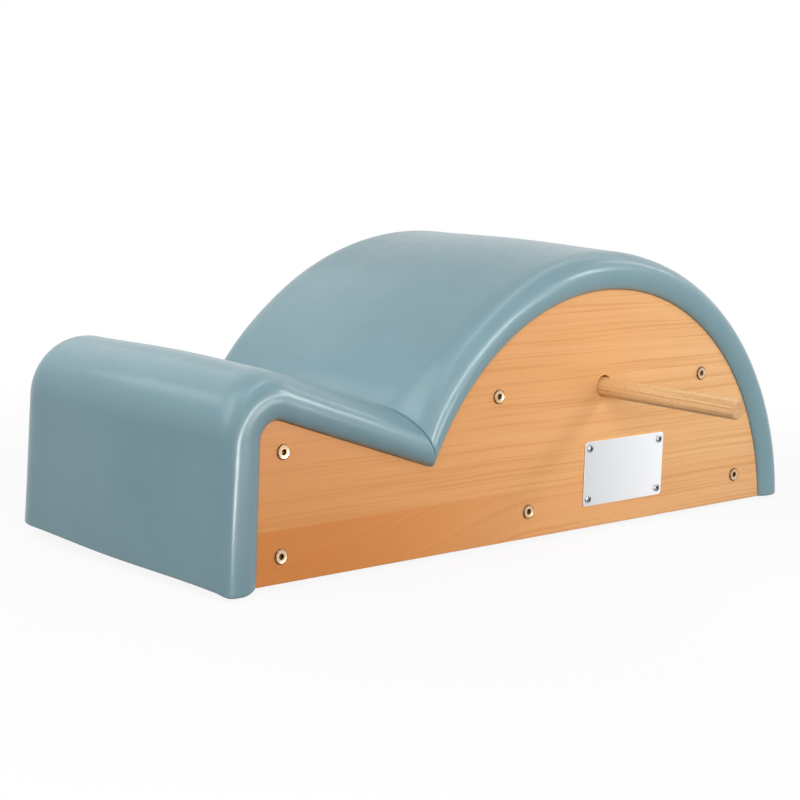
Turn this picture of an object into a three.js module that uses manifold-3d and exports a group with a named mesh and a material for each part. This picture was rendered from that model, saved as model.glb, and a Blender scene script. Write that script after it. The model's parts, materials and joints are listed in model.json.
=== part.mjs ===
// Pilates spine corrector: a padded step and a padded barrel on a beech frame, with a loose hand bar.
// Millimetres, +Z up, +X from the step to the barrel; the side with the name plate faces -Y.
import * as THREE from 'three';
import Module from 'manifold-3d';
import { mergeVertices } from 'three/addons/utils/BufferGeometryUtils.js';

const wasm = await Module();
wasm.setup();

// Side panels: their outline drives everything else
const panelLength = 800;
const panelThickness = 18;
const bodyWidth = 347;
const frontLeanDegrees = 1;
const frontCornerRadius = 29;
const stepSlopeDegrees = 18.2;
const valleyHeight = 96.7;
const barrelRadius = 296.7;
const barrelDrop = 26.3;

// Upholstery: a vinyl skin round a foam pad on a bent plywood deck
const frontPadThickness = 48;
const stepPadThickness = 43.2;
const barrelPadThickness = 41.5;
const padFrontLeanDegrees = 2.2;
const padStepSlopeDegrees = 19;
const padCornerRadius = 63;
const padEdgeRadius = 40;
const padSideHeight = 9;
const padCrown = 2.3;
const frontOverhang = 16.2;
const cornerOverhang = 10.1;
const valleyOverhang = 14;
const crestOverhang = 9.8;
const endOverhang = 15;
const crestShare = 0.45;
const skinThickness = 1.4;
const deckThickness = 9;
const hemWidth = 32;

// Cross rails and the bolts that hold them
const railWidth = 36;
const lowerRailHeight = 60;
const upperRailDrop = 20;
const frontBoltInset = 33.5;
const frontUpperBoltDepth = 29.8;
const frontLowerBoltHeight = 28;
const midLowerBoltX = 387;
const midLowerBoltHeight = 30.5;
const rearBoltInset = 51;
const rearLowerBoltHeight = 33;
const barrelBoltDepth = 41.6;
const barrelBoltSpreadDegrees = 42.1;

// Connector bolts with flat heads and hexagon sockets, and their cross dowels
const boltHeadRadius = 8.5;
const boltHeadHeight = 2.2;
const boltHeadBevel = 0.9;
const boltShankRadius = 3.8;
const boltShankLength = 46;
const socketAcrossFlats = 5;
const socketDepth = 2.8;
const boltHoleClearance = 0.5;
const crossDowelRadius = 6;
const crossDowelLength = 22;
const crossDowelReach = 14;

// Hand bar
const barRadius = 11;
const barClearance = 1.25;
const barHeight = 161;
const barOverhang = 190;
const barEndRadius = 3;

// Name plate and its screws
const plateLength = 135;
const plateHeight = 74;
const plateThickness = 1;
const plateCornerRadius = 4;
const plateCentreX = 543.5;
const plateCentreHeight = 62;
const plateScrewInset = 8;
const plateScrewHeadRadius = 3.4;
const plateScrewHeadHeight = 1.5;
const plateScrewShankRadius = 1.4;
const plateScrewLength = 14;
const domeShoulderShare = 0.75;
const domeRiseShare = 0.8;
const recessWidth = 0.9;
const recessSpan = 3.8;
const recessDepth = 1.1;

// Rubber feet under the lower rails
const footRadius = 13;
const footHeight = 4;
const footTaperShare = 0.92;
const footInset = 56;
const footScrewHeadRadius = 4;
const footScrewShankRadius = 2;
const footScrewLength = 20;
const footScrewSink = 1.6;

// Clearances
const fitGap = 0.3;
const overrun = 4;
const weldTolerance = 1e-4;

// Facets
const circleSides = 28;
const smallCircleSides = 14;
const hiddenCircleSides = 10;
const footSides = 20;
const panelArcSegments = 36;
const cornerSegments = 7;
const plateCornerSegments = 3;
const barEndSteps = 3;

const rad = THREE.MathUtils.degToRad;
const lerp = THREE.MathUtils.lerp;
const v2 = (x, z) => new THREE.Vector2(x, z);
const quarterTurn = Math.PI / 2;

const barHoleRadius = barRadius + barClearance;
const halfWidth = bodyWidth / 2;
const innerHalfWidth = halfWidth - panelThickness;

// Outline of a side panel, in X and Z
const lean = rad(frontLeanDegrees);
const slope = rad(stepSlopeDegrees);
const barrelCentre = v2(panelLength - Math.sqrt(barrelRadius ** 2 - barrelDrop ** 2), -barrelDrop);
const valleyRise = valleyHeight + barrelDrop;
const valley = v2(barrelCentre.x - Math.sqrt(barrelRadius ** 2 - valleyRise ** 2), valleyHeight);
const frontUp = v2(Math.sin(lean), Math.cos(lean));
const frontOut = v2(-Math.cos(lean), Math.sin(lean));
const stepDown = v2(Math.cos(slope), -Math.sin(slope));
const stepOut = v2(Math.sin(slope), Math.cos(slope));
const cornerPoint = frontUp.clone().multiplyScalar(valley.dot(stepOut) / frontUp.dot(stepOut));
const cornerTurn = Math.acos(frontUp.dot(stepDown));
const cornerReach = frontCornerRadius * Math.tan(cornerTurn / 2);
const frontTop = cornerPoint.clone().addScaledVector(frontUp, -cornerReach);
const stepHead = cornerPoint.clone().addScaledVector(stepDown, cornerReach);
const cornerCentre = frontTop.clone().addScaledVector(frontOut, -frontCornerRadius);

const barrelOut = valley.clone().sub(barrelCentre).normalize();

// The step pad's finished surface: two planes, given by their directions and distances, and a round corner
const padFrontOut = v2(-Math.cos(rad(padFrontLeanDegrees)), Math.sin(rad(padFrontLeanDegrees)));
const padStepOut = v2(Math.sin(rad(padStepSlopeDegrees)), Math.cos(rad(padStepSlopeDegrees)));
const padFrontUp = v2(padFrontOut.y, -padFrontOut.x);
const padStepDown = v2(padStepOut.y, -padStepOut.x);
const padFrontReach = -padFrontOut.x * frontPadThickness;
const padStepReach = padStepOut.dot(valley) + stepPadThickness;
const padCornerCentre = crossing(
  padFrontOut,
  padFrontReach - padCornerRadius,
  padStepOut,
  padStepReach - padCornerRadius,
);

// The pads meet in a plane from the panels' valley to the line where the pads' surfaces cross;
// `mitre` reaches one unit out of the step's outline in it
const padRadius = barrelRadius + barrelPadThickness;
const padStepHeight = padStepReach - padStepOut.dot(barrelCentre);
const padValley = barrelCentre.clone()
  .addScaledVector(padStepOut, padStepHeight)
  .addScaledVector(padStepDown, -Math.sqrt(padRadius ** 2 - padStepHeight ** 2));
const mitreAlong = padValley.clone().sub(valley).normalize();
const mitreSide = v2(mitreAlong.y, -mitreAlong.x);
const mitre = mitreAlong.clone().divideScalar(mitreAlong.dot(stepOut));

// The point at given distances along two directions
function crossing(first, firstReach, second, secondReach) {
  const x = firstReach * second.y - secondReach * first.y;
  const y = secondReach * first.x - firstReach * second.x;
  return v2(x, y).divideScalar(first.cross(second));
}

// How far the step pad's surface lies out of the panel's outline along a rib
function stepThickness({ base, out }) {
  const toPlane = (normal, reach) => {
    const along = out.dot(normal);
    return along > 0 ? (reach - base.dot(normal)) / along : Infinity;
  };
  const flat = Math.min(toPlane(padFrontOut, padFrontReach), toPlane(padStepOut, padStepReach));
  const from = base.clone().sub(padCornerCentre);
  const spoke = from.clone().addScaledVector(out, flat);
  if (spoke.dot(padFrontUp) <= 0 || spoke.dot(padStepDown) >= 0) {
    return flat;
  }
  const ahead = from.dot(out);
  const root = Math.sqrt(ahead ** 2 - out.lengthSq() * (from.lengthSq() - padCornerRadius ** 2));
  return (root - ahead) / out.lengthSq();
}

// Points of an arc, the first one left out
function arcPoints(centre, radius, from, to, segments) {
  return Array.from({ length: segments }, (_, index) => {
    const angle = lerp(from, to, (index + 1) / segments);
    return v2(Math.cos(angle), Math.sin(angle)).multiplyScalar(radius).add(centre);
  });
}

const barrelStart = Math.asin(barrelDrop / barrelRadius);
const outlinePoints = [
  v2(0, 0),
  v2(panelLength, 0),
  ...arcPoints(barrelCentre, barrelRadius, barrelStart, barrelOut.angle(), panelArcSegments),
  stepHead,
  ...arcPoints(cornerCentre, frontCornerRadius, stepOut.angle(), frontOut.angle(), cornerSegments),
];

// Booleans on closed position-only geometries
function bare(geometry) {
  const copy = geometry.index ? geometry.clone() : geometry;
  copy.deleteAttribute('normal');
  copy.deleteAttribute('uv');
  return mergeVertices(copy, weldTolerance);
}

function toSolid(geometry) {
  const merged = bare(geometry);
  const vertProperties = new Float32Array(merged.attributes.position.array);
  const triVerts = new Uint32Array(merged.index.array);
  return new wasm.Manifold(new wasm.Mesh({ numProp: 3, vertProperties, triVerts }));
}

function toGeometry(solid) {
  const mesh = solid.getMesh();
  const geometry = new THREE.BufferGeometry();
  geometry.setAttribute('position', new THREE.BufferAttribute(new Float32Array(mesh.vertProperties), 3));
  geometry.setIndex(new THREE.BufferAttribute(new Uint32Array(mesh.triVerts), 1));
  return geometry;
}

function cut(geometry, ...tools) {
  let solid = toSolid(geometry);
  for (const tool of tools) {
    solid = solid.subtract(toSolid(tool));
  }
  return toGeometry(solid);
}

// A solid through rings of equally many points, closed by a cap at each end
function loft(rings, capOutline) {
  const sides = rings[0].length;
  const positions = rings.flat(2);
  const faces = [];
  for (let ring = 0; ring + 1 < rings.length; ring += 1) {
    for (let side = 0; side < sides; side += 1) {
      const next = (side + 1) % sides;
      const a = ring * sides + side;
      const b = ring * sides + next;
      faces.push(a, b, a + sides, b, b + sides, a + sides);
    }
  }
  const last = (rings.length - 1) * sides;
  for (const [a, b, c] of THREE.ShapeUtils.triangulateShape(capOutline, [])) {
    faces.push(a, c, b);
    faces.push(last + a, last + b, last + c);
  }
  const geometry = new THREE.BufferGeometry();
  geometry.setAttribute('position', new THREE.Float32BufferAttribute(positions, 3));
  geometry.setIndex(faces);
  return geometry;
}

// Path of the step pad, from the floor up the front and down to the valley.
// `at` gives the point of one rib at a distance out of the panel's outline.
function stepPath(inset, frontRibs, stepRibs) {
  const foot = frontUp.clone().multiplyScalar(inset / frontUp.y);
  const footOut = v2(-1 / Math.cos(lean), 0);
  const end = valley.clone().addScaledVector(stepDown, -inset / stepDown.dot(mitreSide));
  const ribs = [];
  for (let rib = 0; rib < frontRibs; rib += 1) {
    const share = rib / frontRibs;
    ribs.push({ base: foot.clone().lerp(frontTop, share), out: footOut.clone().lerp(frontOut, share) });
  }
  for (let rib = 0; rib <= cornerSegments; rib += 1) {
    const angle = lerp(frontOut.angle(), stepOut.angle(), rib / cornerSegments);
    const out = v2(Math.cos(angle), Math.sin(angle));
    ribs.push({ base: cornerCentre.clone().addScaledVector(out, frontCornerRadius), out });
  }
  for (let rib = 1; rib <= stepRibs; rib += 1) {
    const share = rib / stepRibs;
    ribs.push({ base: stepHead.clone().lerp(end, share), out: stepOut.clone().lerp(mitre, share) });
  }
  return {
    count: ribs.length,
    at: (rib, offset) => ribs[rib].base.clone().addScaledVector(ribs[rib].out, offset),
    form: (rib) => ({ thickness: stepThickness(ribs[rib]), overhang: stepOverhang(rib, frontRibs, stepRibs) }),
  };
}

// How far the step pad hangs over the panel at one rib
function stepOverhang(rib, frontRibs, stepRibs) {
  const up = Math.min(rib / frontRibs, 1);
  const down = Math.max((rib - frontRibs - cornerSegments) / stepRibs, 0);
  return lerp(frontOverhang, lerp(cornerOverhang, valleyOverhang, down), up);
}

// Path of the barrel pad, from the valley over the crest to the floor
function barrelPath(inset, barrelRibs) {
  const start = valley.clone().addScaledVector(mitreSide, inset).sub(barrelCentre);
  const rise = start.dot(mitreAlong);
  const at = (rib, offset) => {
    const radius = barrelRadius + offset;
    const reach = Math.sqrt(rise ** 2 - start.lengthSq() + radius ** 2) - rise;
    const first = start.clone().addScaledVector(mitreAlong, reach).angle();
    const last = Math.asin((barrelDrop + inset) / radius);
    const angle = lerp(first, last, rib / barrelRibs);
    return v2(Math.cos(angle), Math.sin(angle)).multiplyScalar(radius).add(barrelCentre);
  };
  const form = (rib) => ({ thickness: barrelPadThickness, overhang: barrelOverhang(rib / barrelRibs) });
  return { count: barrelRibs + 1, at, form };
}

function barrelOverhang(share) {
  if (share < crestShare) {
    return lerp(valleyOverhang, crestOverhang, share / crestShare);
  }
  return lerp(crestOverhang, endOverhang, (share - crestShare) / (1 - crestShare));
}

// Half of a pad's section, from its lower edge beside the panel to the middle of its top,
// as pairs of distance from the middle plane and distance out of the outline.
// Its edge is a quarter of an ellipse above the side's widest line.
function padSection({ thickness, overhang }, shrink, floor, lowerEdge, steps) {
  const centre = halfWidth + overhang - padEdgeRadius;
  const reach = padEdgeRadius - shrink;
  const height = thickness - shrink - padSideHeight;
  const edge = Array.from({ length: steps.edge }, (_, step) => {
    const angle = (step / steps.edge) * quarterTurn;
    return [centre + reach * Math.cos(angle), padSideHeight + height * Math.sin(angle)];
  });
  // A pad that rests above its widest line begins on the facet that crosses its floor
  const facetShare = Math.max((floor - edge[0][1]) / (edge[1][1] - edge[0][1]), 0);
  const lowPlace = lerp(edge[0][0], edge[1][0], facetShare);
  const lowHeight = lerp(edge[0][1], edge[1][1], facetShare);
  edge[0] = [lowPlace, lowHeight];
  const points = [];
  for (let step = 0; step < steps.side; step += 1) {
    const angle = (step / steps.side) * quarterTurn;
    points.push([lerp(lowerEdge, lowPlace, Math.sin(angle)), lerp(lowHeight, floor, Math.cos(angle))]);
  }
  points.push(...edge);
  for (let step = 0; step <= steps.top; step += 1) {
    const share = 1 - step / steps.top;
    points.push([centre * share, thickness - shrink + padCrown * (1 - share ** 2) ** 2]);
  }
  return points;
}

// The pad's solid within a skin: `shrink` in from the finished surface, resting on `floor`
function padSolid(path, shrink, floor, lowerEdge, steps) {
  const rings = [];
  let outline = null;
  for (let rib = 0; rib < path.count; rib += 1) {
    const half = padSection(path.form(rib), shrink, floor, lowerEdge, steps);
    const far = half.slice(0, -1).reverse().map(([y, offset]) => [-y, offset]);
    const section = [...half, ...far];
    outline = outline ?? section.map(([y, offset]) => v2(y, offset));
    rings.push(section.map(([y, offset]) => {
      const point = path.at(rib, offset);
      return [point.x, y, point.y];
    }));
  }
  return loft(rings, outline);
}

// A bent board or space of even thickness that follows a path
function bentBoard(path, halfSpan, bottom, top) {
  const section = [[halfSpan, bottom], [halfSpan, top], [-halfSpan, top], [-halfSpan, bottom]];
  const rings = [];
  for (let rib = 0; rib < path.count; rib += 1) {
    rings.push(section.map(([y, offset]) => {
      const point = path.at(rib, offset);
      return [point.x, y, point.y];
    }));
  }
  return loft(rings, section.map(([y, offset]) => v2(y, offset)));
}

const frontRibCount = 6;
const stepRibCount = 7;
const barrelRibCount = 32;
const outerSteps = { side: 3, edge: 4, top: 3 };
const cavitySteps = { side: 2, edge: 3, top: 1 };
const foamSteps = { side: 1, edge: 3, top: 1 };
const coverFloor = fitGap;
const deckFloor = coverFloor + skinThickness + fitGap;
const foamFloor = deckFloor + deckThickness + fitGap;

const stepAlong = (inset) => stepPath(inset, frontRibCount, stepRibCount);
const barrelAlong = (inset) => barrelPath(inset, barrelRibCount);
const plainStepAlong = (inset) => stepPath(inset, 1, 1);

function coverGeometry(along, plainAlong) {
  const outer = padSolid(along(fitGap / 2), 0, coverFloor, halfWidth, outerSteps);
  const cavityEnd = fitGap / 2 + skinThickness;
  const cavityEdge = halfWidth - skinThickness;
  const cavityFloor = coverFloor + skinThickness;
  const cavity = padSolid(along(cavityEnd), skinThickness, cavityFloor, cavityEdge, cavitySteps);
  const mouth = bentBoard(plainAlong(hemWidth), halfWidth - hemWidth, -overrun, deckFloor);
  return cut(outer, cavity, mouth);
}

function foamGeometry(along) {
  const shrink = skinThickness + fitGap;
  return padSolid(along(fitGap / 2 + shrink), shrink, foamFloor, halfWidth, foamSteps);
}

function deckGeometry(plainAlong) {
  const shrink = skinThickness + fitGap;
  const path = plainAlong(fitGap / 2 + shrink);
  return bentBoard(path, halfWidth - shrink, deckFloor, deckFloor + deckThickness);
}

// A cylinder along X, Y or Z, centred on the origin
function rod(radius, length, sides, axis) {
  const geometry = new THREE.CylinderGeometry(radius, radius, length, sides);
  if (axis === 'x') {
    geometry.rotateZ(quarterTurn);
  }
  if (axis === 'z') {
    geometry.rotateX(quarterTurn);
  }
  return geometry;
}

// A piece turned about Y, its profile running upwards along the outside
function turned(profile, sides) {
  return new THREE.LatheGeometry(profile.map(([radius, along]) => v2(radius, along)), sides);
}

function materialOf(color, roughness, metalness) {
  return new THREE.MeshStandardMaterial({ color, roughness, metalness });
}

const vinyl = materialOf(0x7d99a1, 0.42, 0);
const beech = materialOf(0xdd9f66, 0.5, 0);
const barBeech = materialOf(0xd3a879, 0.6, 0);
const plywood = materialOf(0xd9bd93, 0.7, 0);
const pine = materialOf(0xe0c79b, 0.7, 0);
const foam = materialOf(0xe9e2c9, 0.95, 0);
const copperedSteel = materialOf(0xc7a48c, 0.25, 1);
const zincedSteel = materialOf(0xb9bcbf, 0.35, 1);
const plateMetal = materialOf(0xdcdddf, 0.35, 1);
const rubber = materialOf(0x232323, 0.8, 0);

const object = new THREE.Group();

function add(name, geometry, material, x = 0, y = 0, z = 0) {
  const mesh = new THREE.Mesh(geometry, material);
  mesh.name = name;
  mesh.position.set(x, y, z);
  object.add(mesh);
  return mesh;
}

// Where each bolt and its rail sit
const frontStepHeight = valley.y + (valley.x - frontBoltInset) * Math.tan(slope);
const barrelBoltSpread = v2(Math.sin(rad(barrelBoltSpreadDegrees)), Math.cos(rad(barrelBoltSpreadDegrees)))
  .multiplyScalar(barrelRadius - barrelBoltDepth);
const barrelBoltHeight = barrelCentre.y + barrelBoltSpread.y;
const boltPlaces = [
  { name: 'front_lower', x: frontBoltInset, z: frontLowerBoltHeight, lower: true, foot: true },
  { name: 'front_upper', x: frontBoltInset, z: frontStepHeight - frontUpperBoltDepth },
  { name: 'mid_lower', x: midLowerBoltX, z: midLowerBoltHeight, lower: true },
  { name: 'mid_upper', x: barrelCentre.x - barrelBoltSpread.x, z: barrelBoltHeight },
  { name: 'rear_lower', x: panelLength - rearBoltInset, z: rearLowerBoltHeight, lower: true, foot: true },
  { name: 'rear_upper', x: barrelCentre.x + barrelBoltSpread.x, z: barrelBoltHeight },
];
const panelSides = [
  { name: 'near', y: -1 },
  { name: 'far', y: 1 },
];
const boltHoleRadius = boltShankRadius + boltHoleClearance;

const screwPlaces = [-1, 1].flatMap((across) => [-1, 1].map((up) => ({
  x: plateCentreX + across * (plateLength / 2 - plateScrewInset),
  z: plateCentreHeight + up * (plateHeight / 2 - plateScrewInset),
})));

function circleHole(x, z, radius, holeSides) {
  const circle = new THREE.Path();
  circle.absarc(x, z, radius, 0, 2 * Math.PI, true);
  return new THREE.Path(circle.getPoints(holeSides / 2));
}

// A panel lies in X and Z, with its thickness along Y from its outer face inwards
function panelGeometry() {
  const shape = new THREE.Shape(outlinePoints);
  for (const bolt of boltPlaces) {
    shape.holes.push(circleHole(bolt.x, bolt.z, boltHoleRadius, smallCircleSides));
  }
  shape.holes.push(circleHole(barrelCentre.x, barHeight, barHoleRadius, circleSides));
  const geometry = new THREE.ExtrudeGeometry(shape, { depth: panelThickness, bevelEnabled: false });
  geometry.rotateX(quarterTurn);
  geometry.translate(0, panelThickness, 0);
  return geometry;
}

function addPanels() {
  const pilotDepth = plateScrewLength + fitGap;
  const pilots = screwPlaces.map((place) => {
    const tool = rod(plateScrewShankRadius + fitGap, pilotDepth + overrun, smallCircleSides, 'y');
    tool.translate(place.x, (pilotDepth - overrun) / 2, place.z);
    return tool;
  });
  add('side_panel_near', cut(panelGeometry(), ...pilots), beech, 0, -halfWidth, 0);
  add('side_panel_far', toGeometry(toSolid(panelGeometry())), beech, 0, innerHalfWidth, 0);
}

// The space between the panels' outlines, which the upper rails' tops are shaped to
function outlineSolid() {
  const geometry = new THREE.ExtrudeGeometry(new THREE.Shape(outlinePoints), {
    depth: bodyWidth,
    bevelEnabled: false,
  });
  geometry.rotateX(quarterTurn);
  geometry.translate(0, halfWidth, 0);
  return toSolid(geometry);
}

// Lower rails stand level with the panels' bottom edge; upper rails reach up to the upholstery
function railGeometry(bolt) {
  const crest = barrelCentre.y + barrelRadius;
  const bottom = bolt.lower ? 0 : bolt.z - upperRailDrop;
  const height = bolt.lower ? lowerRailHeight : crest - bottom;
  const length = 2 * (innerHalfWidth - fitGap);
  const blank = new THREE.BoxGeometry(railWidth, length, height);
  blank.translate(bolt.x, 0, bottom + height / 2);
  const geometry = toGeometry(toSolid(blank).intersect(outlineSolid()));
  const tools = [];
  for (const side of panelSides) {
    const depth = boltShankLength - panelThickness + fitGap;
    const bore = rod(boltHoleRadius, depth + overrun, hiddenCircleSides, 'y');
    bore.translate(bolt.x, side.y * (innerHalfWidth - fitGap - (depth - overrun) / 2), bolt.z);
    const socketLength = (railWidth + crossDowelLength) / 2 + fitGap + overrun;
    const socket = rod(crossDowelRadius + fitGap, socketLength, hiddenCircleSides, 'x');
    socket.translate(bolt.x + railWidth / 2 + overrun - socketLength / 2, dowelPlace(side), bolt.z);
    tools.push(bore, socket);
  }
  if (bolt.foot) {
    for (const side of panelSides) {
      const pilot = rod(footScrewShankRadius + fitGap, footScrewLength + overrun, hiddenCircleSides, 'z');
      pilot.translate(bolt.x, side.y * (halfWidth - footInset), (footScrewLength - overrun) / 2);
      tools.push(pilot);
    }
  }
  return cut(geometry, ...tools);
}

function dowelPlace(side) {
  return side.y * (innerHalfWidth - crossDowelReach);
}

function addRails() {
  for (const bolt of boltPlaces) {
    add(`${bolt.name}_rail`, railGeometry(bolt), pine);
  }
}

function hexSocket() {
  const geometry = new THREE.CylinderGeometry(1, 1, 1, 6);
  const radius = socketAcrossFlats / Math.sqrt(3);
  geometry.scale(radius, socketDepth + overrun, radius);
  geometry.translate(0, boltHeadHeight - socketDepth + (socketDepth + overrun) / 2, 0);
  return geometry;
}

// The head stands on the panel's face, at the origin; the shank runs down -Y
function boltGeometry() {
  const profile = [
    [0, -boltShankLength],
    [boltShankRadius, -boltShankLength],
    [boltShankRadius, 0],
    [boltHeadRadius, 0],
    [boltHeadRadius, boltHeadHeight - boltHeadBevel],
    [boltHeadRadius - boltHeadBevel, boltHeadHeight],
    [0, boltHeadHeight],
  ];
  return cut(turned(profile, smallCircleSides), hexSocket());
}

function crossDowelGeometry() {
  const body = rod(crossDowelRadius, crossDowelLength, hiddenCircleSides, 'x');
  const thread = rod(boltHoleRadius, 2 * crossDowelRadius + overrun, hiddenCircleSides, 'y');
  return cut(body, thread);
}

function addBolts() {
  for (const side of panelSides) {
    for (const bolt of boltPlaces) {
      const mesh = add(`bolt_${side.name}_${bolt.name}`, boltGeometry(), copperedSteel, bolt.x, 0, bolt.z);
      mesh.position.y = side.y * (halfWidth + fitGap);
      mesh.rotation.z = side.y > 0 ? 0 : Math.PI;
      add(`cross_dowel_${side.name}_${bolt.name}`, crossDowelGeometry(), zincedSteel,
        bolt.x, dowelPlace(side), bolt.z);
    }
  }
}

function addUpholstery() {
  add('step_deck', deckGeometry(plainStepAlong), plywood);
  add('step_foam', foamGeometry(stepAlong), foam);
  add('step_cover', coverGeometry(stepAlong, plainStepAlong), vinyl);
  add('barrel_deck', deckGeometry(barrelAlong), plywood);
  add('barrel_foam', foamGeometry(barrelAlong), foam);
  add('barrel_cover', coverGeometry(barrelAlong, barrelAlong), vinyl);
}

// The bar is loose in its holes and lies on their lower edge
function addHandBar() {
  const half = halfWidth + barOverhang;
  const sag = barClearance - fitGap;
  const rounding = [];
  for (let step = 0; step <= barEndSteps; step += 1) {
    const angle = (step / barEndSteps) * quarterTurn;
    rounding.push([
      barRadius - barEndRadius * (1 - Math.cos(angle)),
      half - barEndRadius * (1 - Math.sin(angle)),
    ]);
  }
  const lowerEnd = rounding.map(([radius, along]) => [radius, -along]).reverse();
  const profile = [[0, -half], ...lowerEnd, ...rounding, [0, half]];
  add('hand_bar', turned(profile, circleSides), barBeech, barrelCentre.x, 0, barHeight - sag);
}

function roundedPlate() {
  const halfLength = plateLength / 2;
  const halfHeight = plateHeight / 2;
  const shape = new THREE.Shape();
  const corners = [[1, -1, -1], [1, 1, 0], [-1, 1, 1], [-1, -1, 2]];
  for (const [across, up, turn] of corners) {
    const x = across * (halfLength - plateCornerRadius);
    const z = up * (halfHeight - plateCornerRadius);
    shape.absarc(x, z, plateCornerRadius, turn * quarterTurn, (turn + 1) * quarterTurn, false);
  }
  for (const place of screwPlaces) {
    const x = place.x - plateCentreX;
    const z = place.z - plateCentreHeight;
    shape.holes.push(circleHole(x, z, plateScrewShankRadius + fitGap, hiddenCircleSides));
  }
  const geometry = new THREE.ExtrudeGeometry(shape, {
    depth: plateThickness,
    bevelEnabled: false,
    curveSegments: plateCornerSegments,
  });
  geometry.rotateX(quarterTurn);
  return geometry;
}

// A domed screw with a cross recess: its head stands on the plate and its shank runs down -Y
function plateScrewGeometry() {
  const profile = [
    [0, -plateScrewLength],
    [plateScrewShankRadius, -plateScrewLength + plateScrewShankRadius],
    [plateScrewShankRadius, 0],
    [plateScrewHeadRadius, 0],
    [plateScrewHeadRadius * domeShoulderShare, plateScrewHeadHeight * domeRiseShare],
    [0, plateScrewHeadHeight],
  ];
  const height = recessDepth + overrun;
  const along = new THREE.BoxGeometry(recessSpan, height, recessWidth);
  const across = new THREE.BoxGeometry(recessWidth, height, recessSpan);
  for (const slot of [along, across]) {
    slot.translate(0, plateScrewHeadHeight - recessDepth + height / 2, 0);
  }
  return cut(turned(profile, smallCircleSides), along, across);
}

function addNamePlate() {
  const face = -halfWidth - fitGap;
  add('name_plate', roundedPlate(), plateMetal, plateCentreX, face, plateCentreHeight);
  screwPlaces.forEach((place, index) => {
    const y = face - plateThickness - fitGap;
    const mesh = add(`plate_screw_${index + 1}`, plateScrewGeometry(), zincedSteel, place.x, y, place.z);
    mesh.rotation.z = Math.PI;
  });
}

// Feet hang under the lower rails, each held by a countersunk screw
function footGeometry() {
  const sink = footScrewSink + (footScrewHeadRadius - footScrewShankRadius);
  const profile = [
    [footScrewShankRadius + fitGap, -footHeight + sink],
    [footScrewHeadRadius + fitGap, -footHeight + footScrewSink],
    [footScrewHeadRadius + fitGap, -footHeight],
    [footRadius * footTaperShare, -footHeight],
    [footRadius, 0],
    [footScrewShankRadius + fitGap, 0],
  ];
  return turned([...profile, profile[0]], footSides);
}

function footScrewGeometry() {
  const headHeight = footScrewHeadRadius - footScrewShankRadius;
  const headFace = -footHeight + footScrewSink - fitGap;
  const profile = [
    [0, headFace],
    [footScrewHeadRadius, headFace],
    [footScrewShankRadius, headFace + headHeight],
    [footScrewShankRadius, headFace + footScrewLength - footScrewShankRadius],
    [0, headFace + footScrewLength],
  ];
  return turned(profile, smallCircleSides);
}

function upright(geometry) {
  geometry.rotateX(quarterTurn);
  return geometry;
}

function addFeet() {
  for (const side of panelSides) {
    for (const bolt of boltPlaces.filter((place) => place.foot)) {
      const end = bolt.name.replace('_lower', '');
      const y = side.y * (halfWidth - footInset);
      add(`foot_${side.name}_${end}`, upright(footGeometry()), rubber, bolt.x, y, -fitGap);
      add(`foot_screw_${side.name}_${end}`, upright(footScrewGeometry()), zincedSteel, bolt.x, y, -fitGap);
    }
  }
}

addPanels();
addRails();
addBolts();
addUpholstery();
addHandBar();
addNamePlate();
addFeet();

// The origin is on the floor, under the middle of the object
const bounds = new THREE.Box3().setFromObject(object);
const part = new THREE.Group();
object.position.set(-(bounds.min.x + bounds.max.x) / 2, -(bounds.min.y + bounds.max.y) / 2, -bounds.min.z);
part.add(object);

export default part;
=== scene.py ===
import json
import math

import bmesh
import bpy
import numpy as np
from mathutils import Matrix, Vector


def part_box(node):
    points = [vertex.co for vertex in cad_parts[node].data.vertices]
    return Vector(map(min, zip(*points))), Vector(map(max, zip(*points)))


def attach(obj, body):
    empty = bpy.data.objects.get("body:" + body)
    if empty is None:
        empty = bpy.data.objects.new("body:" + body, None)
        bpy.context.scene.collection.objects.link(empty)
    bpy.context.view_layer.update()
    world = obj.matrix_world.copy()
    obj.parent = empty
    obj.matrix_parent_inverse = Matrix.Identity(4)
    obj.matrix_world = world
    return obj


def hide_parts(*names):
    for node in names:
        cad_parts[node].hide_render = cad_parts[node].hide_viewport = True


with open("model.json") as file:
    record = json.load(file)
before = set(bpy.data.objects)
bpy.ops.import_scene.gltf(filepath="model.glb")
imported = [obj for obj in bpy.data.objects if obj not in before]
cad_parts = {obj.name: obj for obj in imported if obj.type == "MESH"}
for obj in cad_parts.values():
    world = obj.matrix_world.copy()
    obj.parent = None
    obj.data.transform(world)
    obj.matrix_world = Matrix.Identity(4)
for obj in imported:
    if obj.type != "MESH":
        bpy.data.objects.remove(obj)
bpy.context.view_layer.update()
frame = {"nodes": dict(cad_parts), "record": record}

# Lengths are in millimetres in the panels' own coordinates: X from the front foot of the side panels,
# Y from the middle plane and Z from their lower edge. place() turns them into the frame's metres.
PANEL_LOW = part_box("side_panel_near")[0]
ORIGIN = np.array([PANEL_LOW.x, 0.0, PANEL_LOW.z])

PANEL_LENGTH = 800.0
PANEL_THICKNESS = 18.0
PANEL_BEVEL = 0.8
HALF_WIDTH = 173.5
INNER_HALF_WIDTH = HALF_WIDTH - PANEL_THICKNESS
LEAN = math.radians(1.0)
CORNER_RADIUS = 20.0
SLOPE = math.radians(18.2)
VALLEY_HEIGHT = 96.7
BARREL_RADIUS = 296.7
BARREL_DROP = 26.3

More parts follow.
